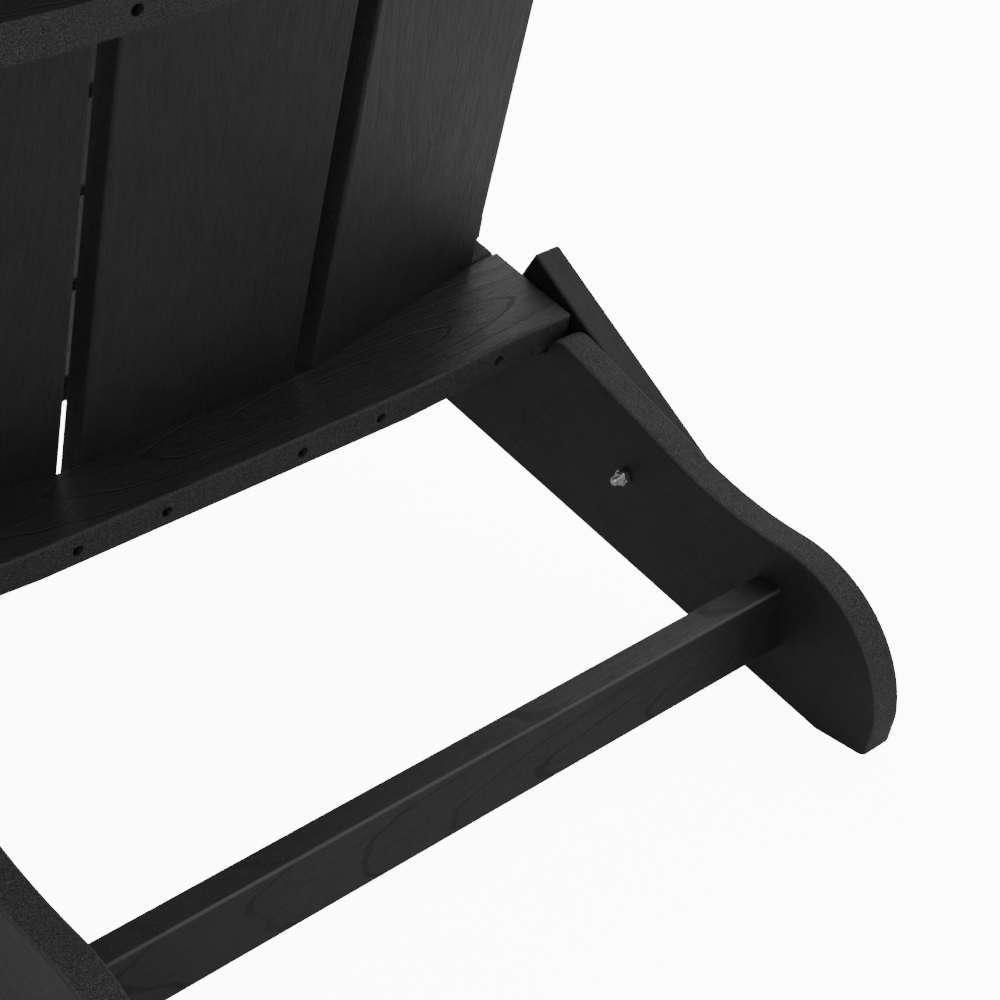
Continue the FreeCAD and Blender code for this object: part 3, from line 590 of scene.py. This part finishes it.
def turned(name, rings, sides=24):
    """Solid of revolution about Z, drawn ring by ring as (height, radius)."""
    clear_selection()
    bpy.ops.mesh.primitive_circle_add(vertices=sides, radius=rings[0][1], fill_type="NGON",
                                      location=(0.0, 0.0, 0.0))
    piece = bpy.context.active_object
    piece.name = name
    bpy.ops.object.mode_set(mode="EDIT")
    bpy.ops.mesh.select_all(action="SELECT")
    bpy.ops.transform.translate(value=(0.0, 0.0, rings[0][0]))
    for (z0, r0), (z1, r1) in zip(rings, rings[1:]):
        bpy.ops.mesh.extrude_region_move(TRANSFORM_OT_translate={"value": (0.0, 0.0, z1 - z0)})
        if abs(r1 - r0) > 1e-9:
            bpy.ops.transform.resize(value=(r1 / r0, r1 / r0, 1.0))
    bpy.ops.mesh.select_all(action="SELECT")
    bpy.ops.mesh.normals_make_consistent(inside=False)
    bpy.ops.object.mode_set(mode="OBJECT")
    return piece


def prism(name, corners, radius, low, high, turn=0.0, lobe=1.0):
    """Upright prism; with a lobe below 1 every second corner is drawn in, as on a star key."""
    clear_selection()
    bpy.ops.mesh.primitive_circle_add(vertices=corners, radius=radius, fill_type="NGON",
                                      location=(0.0, 0.0, 0.0), rotation=(0.0, 0.0, turn))
    piece = bpy.context.active_object
    piece.name = name
    if lobe < 1.0:
        for i, vertex in enumerate(piece.data.vertices):
            vertex.select = i % 2 == 0
        for edge in piece.data.edges:
            edge.select = False
        for face in piece.data.polygons:
            face.select = False
        bpy.ops.object.mode_set(mode="EDIT")
        bpy.ops.mesh.select_mode(type="VERT")
        bpy.ops.transform.resize(value=(lobe, lobe, 1.0))
    else:
        bpy.ops.object.mode_set(mode="EDIT")
    bpy.ops.mesh.select_all(action="SELECT")
    bpy.ops.transform.translate(value=(0.0, 0.0, low))
    bpy.ops.mesh.extrude_region_move(TRANSFORM_OT_translate={"value": (0.0, 0.0, high - low)})
    bpy.ops.mesh.select_all(action="SELECT")
    bpy.ops.mesh.normals_make_consistent(inside=False)
    bpy.ops.object.mode_set(mode="OBJECT")
    bpy.ops.object.transform_apply(location=True, rotation=True, scale=True)
    return piece


def carve(piece, tool, how):
    """Boolean of piece with tool; the tool is used up."""
    clear_selection()
    piece.select_set(True)
    bpy.context.view_layer.objects.active = piece
    cut = piece.modifiers.new("cut", "BOOLEAN")
    cut.operation = how
    cut.solver = "EXACT"
    cut.object = tool
    bpy.ops.object.modifier_apply(modifier=cut.name)
    bpy.data.objects.remove(tool)
    return piece


def join(parts, name):
    """All parts as one mesh."""
    clear_selection()
    for part in parts:
        part.select_set(True)
    bpy.context.view_layer.objects.active = parts[0]
    bpy.ops.object.join()
    piece = bpy.context.active_object
    piece.name = name
    piece.data.name = name
    return piece


def shade(piece, mat):
    piece.data.materials.clear()
    piece.data.materials.append(mat)


def smooth(piece):
    clear_selection()
    piece.select_set(True)
    bpy.context.view_layer.objects.active = piece
    bpy.ops.object.shade_smooth_by_angle(angle=SMOOTH_ANGLE)


def copy_to(master, foot, head, spin=0.0):
    """Copy of a master that stands on Z, laid with its base at foot and its top towards head."""
    clear_selection()
    master.select_set(True)
    bpy.context.view_layer.objects.active = master
    bpy.ops.object.duplicate()
    piece = bpy.context.active_object
    way = (head - foot).normalized()
    turn = way.to_track_quat("Z", "Y").to_matrix().to_4x4()
    piece.matrix_world = Matrix.Translation(foot) @ turn @ Matrix.Rotation(spin, 4, "Z")
    bpy.ops.object.transform_apply(location=True, rotation=True, scale=True)
    return piece


def finish_piece(parts, node):
    """Joins the copies, lets them stand for the CAD node and ride on its body."""
    piece = join(parts, node + "_detail")
    smooth(piece)
    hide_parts(node)
    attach(piece, BODY_OF[node])
    return piece


def drop(*objects):
    for item in objects:
        bpy.data.objects.remove(item)


def make_bolt(own, length, headed, steel):
    """Button head bolt standing on its threaded end, or a threaded stub with no head."""
    radius = own.bolt_radius
    core = radius - own.pitch * THREAD_DEPTH
    crest = radius * 0.985
    shank = radius * 0.99
    thread = BOLT_THREAD_LENGTH if headed else length - 0.001
    rings = [(0.0, core * 0.82), (0.0006, core)]
    z = 0.0006
    while z + own.pitch < thread:
        rings += [(z + own.pitch * 0.38, crest), (z + own.pitch * 0.50, crest), (z + own.pitch * 0.88, core)]
        z += own.pitch
        rings.append((z, core))
    rings.append((z + 0.0008, shank))
    top = length - (BOLT_HEAD_HEIGHT if headed else 0.0)
    rings.append((top, shank))
    if not headed:
        bolt = turned("bolt", rings)
    else:
        rings += [(top + height, BOLT_HEAD_RADIUS * share) for height, share in BOLT_HEAD]
        bolt = turned("bolt", rings, sides=32)
        key = prism("key", 6, BOLT_KEY_RADIUS, length - BOLT_KEY_DEPTH, length + KEY_CLEARANCE)
        carve(bolt, key, "DIFFERENCE")
    shade(bolt, steel)
    return bolt


def make_nut(own, steel, nylon):
    """Locknut standing on its bearing face: chamfered hexagon, rolled collar, nylon ring."""
    flat = own.nut_flats / 2.0
    corner = flat / math.cos(math.radians(30.0))
    body = prism("nut", 6, corner, 0.0, NUT_BODY_HEIGHT, turn=math.radians(15.0))
    shell = turned("shell", [(-0.0001, flat * 0.93), (0.0004, flat * 1.02), (0.0009, corner * 1.01),
                             (0.0034, corner * 1.01), (0.0041, flat * 1.03), (0.0046, flat * 0.90)],
                   sides=48)
    carve(body, shell, "INTERSECT")
    collar = turned("collar", [(height, flat * share) for height, share in NUT_COLLAR], sides=40)
    ring = turned("ring", NUT_RING, sides=32)
    shade(body, steel)
    shade(collar, steel)
    shade(ring, nylon)
    return join([body, collar, ring], "nut")


def make_washer(thick, nylon):
    """Flat washer standing on its face, its outer edges eased."""
    ring = turned("washer", [(0.0, WASHER_EASED), (thick * 0.2, WASHER_RADIUS),
                             (thick * 0.8, WASHER_RADIUS), (thick, WASHER_EASED)], sides=40)
    bore = turned("bore", [(-0.001, WASHER_BORE), (0.01, WASHER_BORE)], sides=32)
    carve(ring, bore, "DIFFERENCE")
    shade(ring, nylon)
    return ring


def make_screw(length, coat):
    """Deck screw standing on its point: wide rings of thread, plain neck, dished head, star recess."""
    rings = [(0.0, 0.0003), (SCREW_TIP, SCREW_CORE)]
    z = SCREW_TIP
    while z + SCREW_PITCH < length - SCREW_NECK_LENGTH:
        rings += [(z + 0.0009, SCREW_CREST), (z + 0.0012, SCREW_CREST),
                  (z + 0.0018, SCREW_CORE), (z + SCREW_PITCH, SCREW_CORE)]
        z += SCREW_PITCH
    rings.append((z + 0.001, 0.0017))
    rings += [(length + height, radius) for height, radius in SCREW_HEAD]
    screw = turned("screw", rings, sides=16)
    star = prism("star", 12, STAR_RADIUS, length - STAR_DEPTH, length + KEY_CLEARANCE, lobe=STAR_LOBE)
    carve(screw, star, "DIFFERENCE")
    shade(screw, coat)
    return screw


class CHAIR_OT_bolts(bpy.types.Operator):
    """Model the pivot bolts with ringed threads and button heads"""
    bl_idname = "chair.bolts"
    bl_label = "Pivot Bolts"

    def execute(self, context):
        own = context.scene.chair_hardware
        steel = metal_material("stainless_bolts", own.steel_color, 0.30, 1.0, 320.0, 0.22)
        for node in ("link_pivot_bolts", "leg_pivot_bolts", "rail_pivot_bolts",
                     "arm_rear_pivot_bolts", "arm_front_pivot_bolts", "leg_top_pivot_bolts"):
            ends = [axis_of(points) for points in islands(node)]
            headed = node != "leg_top_pivot_bolts"
            if not headed:
                ends = [tuple(sorted(pair, key=lambda p: abs(p.x))) for pair in ends]
            length = (ends[0][1] - ends[0][0]).length
            master = make_bolt(own, length, headed, steel)
            parts = [copy_to(master, foot, head, spin=BOLT_SPIN) for foot, head in ends]
            drop(master)
            finish_piece(parts, node)
        return {"FINISHED"}


class CHAIR_OT_nuts(bpy.types.Operator):
    """Model the locknuts with their nylon rings"""
    bl_idname = "chair.nuts"
    bl_label = "Locknuts"

    def execute(self, context):
        own = context.scene.chair_hardware
        steel = metal_material("stainless_nuts", own.steel_color, 0.34, 1.0, 260.0, 0.25)
        nylon = metal_material("nylon_ring", NYLON_COLOR, 0.42, 0.0, 200.0, 0.1)
        master = make_nut(own, steel, nylon)
        for node in ("link_pivot_locknuts", "leg_pivot_locknuts", "leg_top_locknuts"):
            parts = []
            for points in islands(node):
                low, high = points.min(0), points.max(0)
                middle = (low + high) / 2.0
                side = 1.0 if middle[0] > 0.0 else -1.0
                outer = max(abs(low[0]), abs(high[0]))
                foot = Vector((side * outer, middle[1], middle[2]))
                inward = Vector((-side, 0.0, 0.0))
                parts.append(copy_to(master, foot, foot + inward, spin=NUT_SPIN))
            finish_piece(parts, node)
        drop(master)
        return {"FINISHED"}


class CHAIR_OT_washers(bpy.types.Operator):
    """Model the washers under the nuts and between the planks"""
    bl_idname = "chair.washers"
    bl_label = "Washers"

    def execute(self, context):
        own = context.scene.chair_hardware
        nylon = metal_material("black_washers", own.washer_color, 0.45, 0.0, 300.0, 0.2)
        for node in ("link_pivot_washers", "leg_pivot_washers"):
            parts = []
            for points in islands(node):
                low, high = points.min(0), points.max(0)
                middle = (low + high) / 2.0
                thick = float(high[0] - low[0])
                master = make_washer(thick, nylon)
                foot = Vector((low[0], middle[1], middle[2]))
                parts.append(copy_to(master, foot, foot + Vector((1.0, 0.0, 0.0))))
                drop(master)
            finish_piece(parts, node)
        return {"FINISHED"}


class CHAIR_OT_screws(bpy.types.Operator):
    """Model the coated deck screws down in their bores"""
    bl_idname = "chair.screws"
    bl_label = "Screws"

    def execute(self, context):
        own = context.scene.chair_hardware
        coat = metal_material("coated_screws", own.screw_color, 0.42, 0.7, 500.0, 0.2)
        for node in sorted(n for n in NODES if n.endswith("_screws")):
            ends = [axis_of(points) for points in islands(node)]
            masters = {}
            parts = []
            for number, (foot, head) in enumerate(ends):
                length = round((head - foot).length, 4)
                if length not in masters:
                    masters[length] = make_screw(length, coat)
                parts.append(copy_to(masters[length], foot, head, spin=SCREW_SPIN * number))
            drop(*masters.values())
            finish_piece(parts, node)
        return {"FINISHED"}


# ------------------------------------------------------------------- stage
def area_light(name, power, size, place, target):
    lamp = bpy.data.lights.new(name, "AREA")
    lamp.shape = "RECTANGLE"
    lamp.size, lamp.size_y = size
    lamp.energy = power
    lamp_object = bpy.data.objects.new(name, lamp)
    bpy.context.scene.collection.objects.link(lamp_object)
    lamp_object.location = place
    lamp_object.rotation_euler = (Vector(place) - Vector(target)).to_track_quat("Z", "Y").to_euler()


def glow_as_seen(tree, socket, glow, even):
    """Feeds a strength with the even value, and with the glow added where the camera looks."""
    net = Net(tree)
    seen = net.put("LightPath").outputs["Is Camera Ray"]
    net.feed(socket, net.math("MULTIPLY_ADD", seen, glow, even))


class CHAIR_OT_stage(bpy.types.Operator):
    """Set the pale floor, the soft studio light and the camera"""
    bl_idname = "chair.stage"
    bl_label = "Stage"

    def execute(self, context):
        own = context.scene.chair_stage
        clear_selection()
        bpy.ops.mesh.primitive_plane_add(size=own.floor_size, location=(0.0, 0.0, 0.0))
        floor = context.active_object
        floor.name = "studio_floor"
        paper = bpy.data.materials.new("studio_paper")
        paper.use_nodes = True
        shader = paper.node_tree.nodes["Principled BSDF"]
        shader.inputs["Base Color"].default_value = PAPER_COLOR
        shader.inputs["Roughness"].default_value = 0.9
        shader.inputs["Specular IOR Level"].default_value = 0.1
        shader.inputs["Emission Color"].default_value = WHITE
        glow_as_seen(paper.node_tree, shader.inputs["Emission Strength"], own.paper_glow, 0.0)
        floor.data.materials.append(paper)
        world = bpy.data.worlds.new("studio_sky")
        context.scene.world = world
        world.use_nodes = True
        sky = world.node_tree.nodes["Background"]
        sky.inputs["Color"].default_value = WHITE
        glow_as_seen(world.node_tree, sky.inputs["Strength"], own.paper_glow, own.sky)
        for lamp in LAMPS:
            area_light(*lamp)
        back = Vector((math.sin(own.turn) * math.cos(own.rise),
                       -math.cos(own.turn) * math.cos(own.rise), math.sin(own.rise)))
        camera_data = bpy.data.cameras.new("camera")
        camera_data.lens = own.lens
        camera_data.sensor_width = 36.0
        camera = bpy.data.objects.new("camera", camera_data)
        context.scene.collection.objects.link(camera)
        camera.location = own.place
        aim = back.to_track_quat("Z", "Y") @ Quaternion((0.0, 0.0, 1.0), own.roll)
        camera.rotation_euler = aim.to_euler()
        camera_data.clip_end = 100.0
        context.scene.camera = camera
        return {"FINISHED"}


class CHAIR_PT_panel(bpy.types.Panel):
    """Chair settings and steps"""
    bl_idname = "CHAIR_PT_panel"
    bl_label = "Folding Chair"
    bl_space_type = "VIEW_3D"
    bl_region_type = "UI"
    bl_category = "Chair"

    def draw(self, context):
        layout = self.layout
        for group in ("chair_lumber", "chair_hardware", "chair_stage"):
            settings = getattr(context.scene, group)
            box = layout.box()
            for key in settings.__annotations__:
                box.prop(settings, key)
        for step in STEPS:
            layout.operator(step.bl_idname)


STEPS = (CHAIR_OT_stage, CHAIR_OT_lumber, CHAIR_OT_bolts, CHAIR_OT_nuts, CHAIR_OT_washers, CHAIR_OT_screws)
CLASSES = (LumberSettings, HardwareSettings, StageSettings) + STEPS + (CHAIR_PT_panel,)


def register():
    for cls in CLASSES:
        bpy.utils.register_class(cls)
    bpy.types.Scene.chair_lumber = bpy.props.PointerProperty(type=LumberSettings)
    bpy.types.Scene.chair_hardware = bpy.props.PointerProperty(type=HardwareSettings)
    bpy.types.Scene.chair_stage = bpy.props.PointerProperty(type=StageSettings)


def unregister():
    del bpy.types.Scene.chair_stage
    del bpy.types.Scene.chair_hardware
    del bpy.types.Scene.chair_lumber
    for cls in reversed(CLASSES):
        bpy.utils.unregister_class(cls)


def main():
    register()
    bpy.ops.chair.stage()
    bpy.ops.chair.lumber()
    bpy.ops.chair.bolts()
    bpy.ops.chair.nuts()
    bpy.ops.chair.washers()
    bpy.ops.chair.screws()
    clear_selection()


if __name__ == "__main__":
    main()
